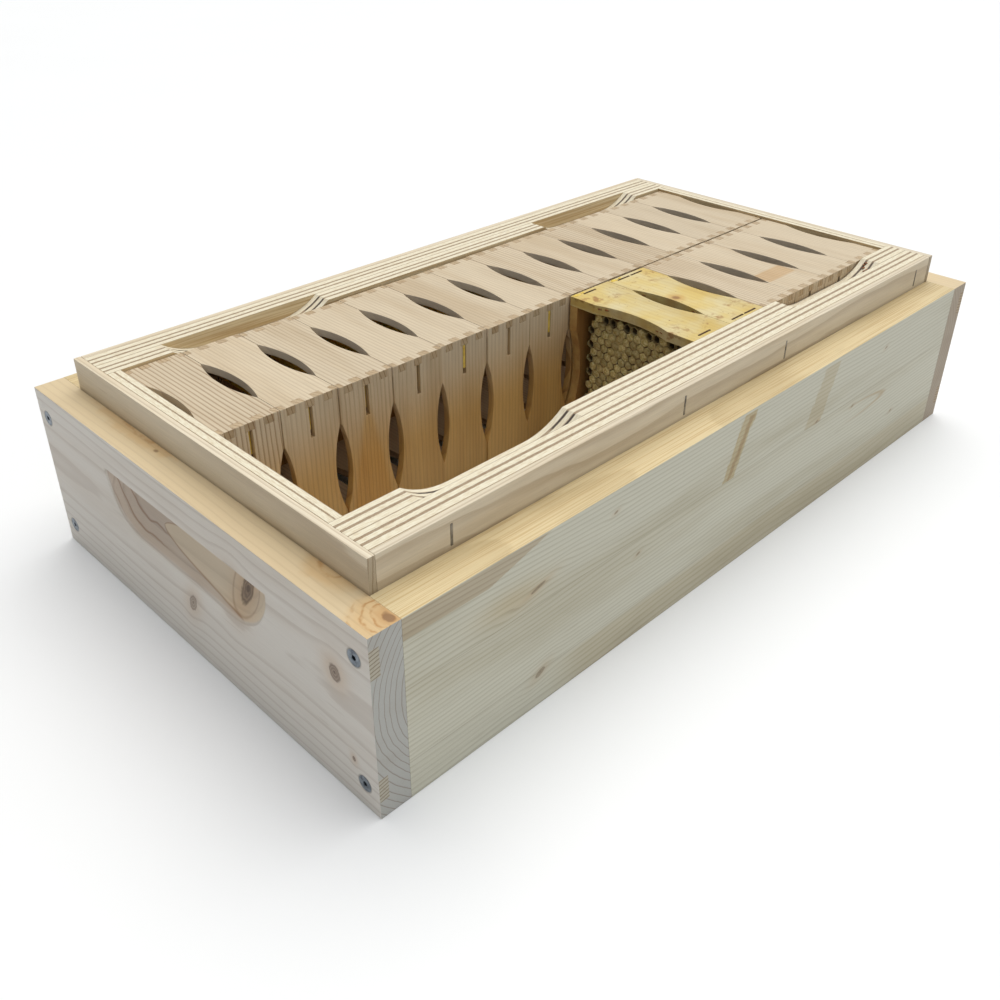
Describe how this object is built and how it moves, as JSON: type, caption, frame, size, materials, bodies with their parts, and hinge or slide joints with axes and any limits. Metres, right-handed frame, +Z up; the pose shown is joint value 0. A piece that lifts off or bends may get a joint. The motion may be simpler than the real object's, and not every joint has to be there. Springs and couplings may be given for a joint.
{
  "type": "hive super with section frames",
  "caption": "Shallow wooden hive super with a lined, raised rim, holding two rows of small hollow-edged section frames for comb honey that lift out one by one.",
  "frame": {"origin": "centre of the box's bottom face, on the surface it stands on", "axes": "+X along the long side, +Y to the back side, +Z up"},
  "size_m": [0.508, 0.286, 0.1175],
  "materials": {
    "end_board_pine": "planed pine, slightly greyed",
    "side_board_pine": "planed pine with wide grain and knots",
    "rim_strip_spruce": "thin planed spruce strip",
    "plywood": "pale plywood with brown glue lines on its edges",
    "section_wood": "fine-grained planed basswood",
    "used_section_wood": "wood stained yellow by wax and propolis",
    "beeswax": "thin translucent beeswax sheet",
    "honeycomb": "capped wax comb",
    "galvanised_strip": "dull galvanised flat strip",
    "zinc_steel": "zinc-plated screw",
    "staple_steel": "dark galvanised staple wire"
  },
  "bodies": {
    "super": {"end_board_left": "end_board_pine", "rim_strip_left": "rim_strip_spruce", "ply_end_left": "plywood", "end_board_right": "end_board_pine", "rim_strip_right": "rim_strip_spruce", "ply_end_right": "plywood", "side_board_front": "side_board_pine", "rim_strip_front": "rim_strip_spruce", "ply_outer_front": "plywood", "ply_inner_front": "plywood", "side_board_back": "side_board_pine", "rim_strip_back": "rim_strip_spruce", "ply_outer_back": "plywood", "ply_inner_back": "plywood", "support_rail_front": "galvanised_strip", "support_rail_middle": "galvanised_strip", "support_rail_back": "galvanised_strip", "box_screws": "zinc_steel", "rim_staples": "staple_steel"},
    "section_back_01": {"section_frame_back_01": "section_wood", "starter_strip_back_01": "beeswax"},
    "section_back_02": {"section_frame_back_02": "section_wood", "starter_strip_back_02": "beeswax"},
    "section_back_03": {"section_frame_back_03": "section_wood", "starter_strip_back_03": "beeswax"},
    "section_back_04": {"section_frame_back_04": "section_wood", "starter_strip_back_04": "beeswax"},
    "section_back_05": {"section_frame_back_05": "section_wood", "starter_strip_back_05": "beeswax"},
    "section_back_06": {"section_frame_back_06": "section_wood", "starter_strip_back_06": "beeswax"},
    "section_back_07": {"section_frame_back_07": "section_wood", "starter_strip_back_07": "beeswax"},
    "section_back_08": {"section_frame_back_08": "section_wood", "starter_strip_back_08": "beeswax"},
    "section_back_09": {"section_frame_back_09": "section_wood", "starter_strip_back_09": "beeswax"},
    "section_back_10": {"section_frame_back_10": "section_wood", "starter_strip_back_10": "beeswax"},
    "section_back_11": {"section_frame_back_11": "section_wood", "starter_strip_back_11": "beeswax"},
    "section_back_12": {"section_frame_back_12": "section_wood", "starter_strip_back_12": "beeswax"},
    "section_back_13": {"section_frame_back_13": "section_wood", "starter_strip_back_13": "beeswax"},
    "section_front_08": {"section_frame_front_08": "used_section_wood", "honeycomb_front_08": "honeycomb", "section_staples_front_08": "staple_steel"},
    "section_front_09": {"section_frame_front_09": "used_section_wood", "honeycomb_front_09": "honeycomb", "section_staples_front_09": "staple_steel"},
    "section_front_10": {"section_frame_front_10": "section_wood", "starter_strip_front_10": "beeswax"},
    "section_front_11": {"section_frame_front_11": "section_wood", "starter_strip_front_11": "beeswax"},
    "section_front_12": {"section_frame_front_12": "section_wood", "starter_strip_front_12": "beeswax"},
    "section_front_13": {"section_frame_front_13": "section_wood", "starter_strip_front_13": "beeswax"}
  },
  "joints": [
    {"name": "lift_back_01", "type": "slide", "parent": "super", "child": "section_back_01", "axis": [0, 0, 1], "range_m": [0, 0.1]},
    {"name": "lift_back_02", "type": "slide", "parent": "super", "child": "section_back_02", "axis": [0, 0, 1], "range_m": [0, 0.1]},
    {"name": "lift_back_03", "type": "slide", "parent": "super", "child": "section_back_03", "axis": [0, 0, 1], "range_m": [0, 0.1]},
    {"name": "lift_back_04", "type": "slide", "parent": "super", "child": "section_back_04", "axis": [0, 0, 1], "range_m": [0, 0.1]},
    {"name": "lift_back_05", "type": "slide", "parent": "super", "child": "section_back_05", "axis": [0, 0, 1], "range_m": [0, 0.1]},
    {"name": "lift_back_06", "type": "slide", "parent": "super", "child": "section_back_06", "axis": [0, 0, 1], "range_m": [0, 0.1]},
    {"name": "lift_back_07", "type": "slide", "parent": "super", "child": "section_back_07", "axis": [0, 0, 1], "range_m": [0, 0.1]},
    {"name": "lift_back_08", "type": "slide", "parent": "super", "child": "section_back_08", "axis": [0, 0, 1], "range_m": [0, 0.1]},
    {"name": "lift_back_09", "type": "slide", "parent": "super", "child": "section_back_09", "axis": [0, 0, 1], "range_m": [0, 0.1]},
    {"name": "lift_back_10", "type": "slide", "parent": "super", "child": "section_back_10", "axis": [0, 0, 1], "range_m": [0, 0.1]},
    {"name": "lift_back_11", "type": "slide", "parent": "super", "child": "section_back_11", "axis": [0, 0, 1], "range_m": [0, 0.1]},
    {"name": "lift_back_12", "type": "slide", "parent": "super", "child": "section_back_12", "axis": [0, 0, 1], "range_m": [0, 0.1]},
    {"name": "lift_back_13", "type": "slide", "parent": "super", "child": "section_back_13", "axis": [0, 0, 1], "range_m": [0, 0.1]},
    {"name": "lift_front_08", "type": "slide", "parent": "super", "child": "section_front_08", "axis": [0, 0, 1], "range_m": [0, 0.1]},
    {"name": "lift_front_09", "type": "slide", "parent": "super", "child": "section_front_09", "axis": [0, 0, 1], "range_m": [0, 0.1]},
    {"name": "lift_front_10", "type": "slide", "parent": "super", "child": "section_front_10", "axis": [0, 0, 1], "range_m": [0, 0.1]},
    {"name": "lift_front_11", "type": "slide", "parent": "super", "child": "section_front_11", "axis": [0, 0, 1], "range_m": [0, 0.1]},
    {"name": "lift_front_12", "type": "slide", "parent": "super", "child": "section_front_12", "axis": [0, 0, 1], "range_m": [0, 0.1]},
    {"name": "lift_front_13", "type": "slide", "parent": "super", "child": "section_front_13", "axis": [0, 0, 1], "range_m": [0, 0.1]}
  ]
}
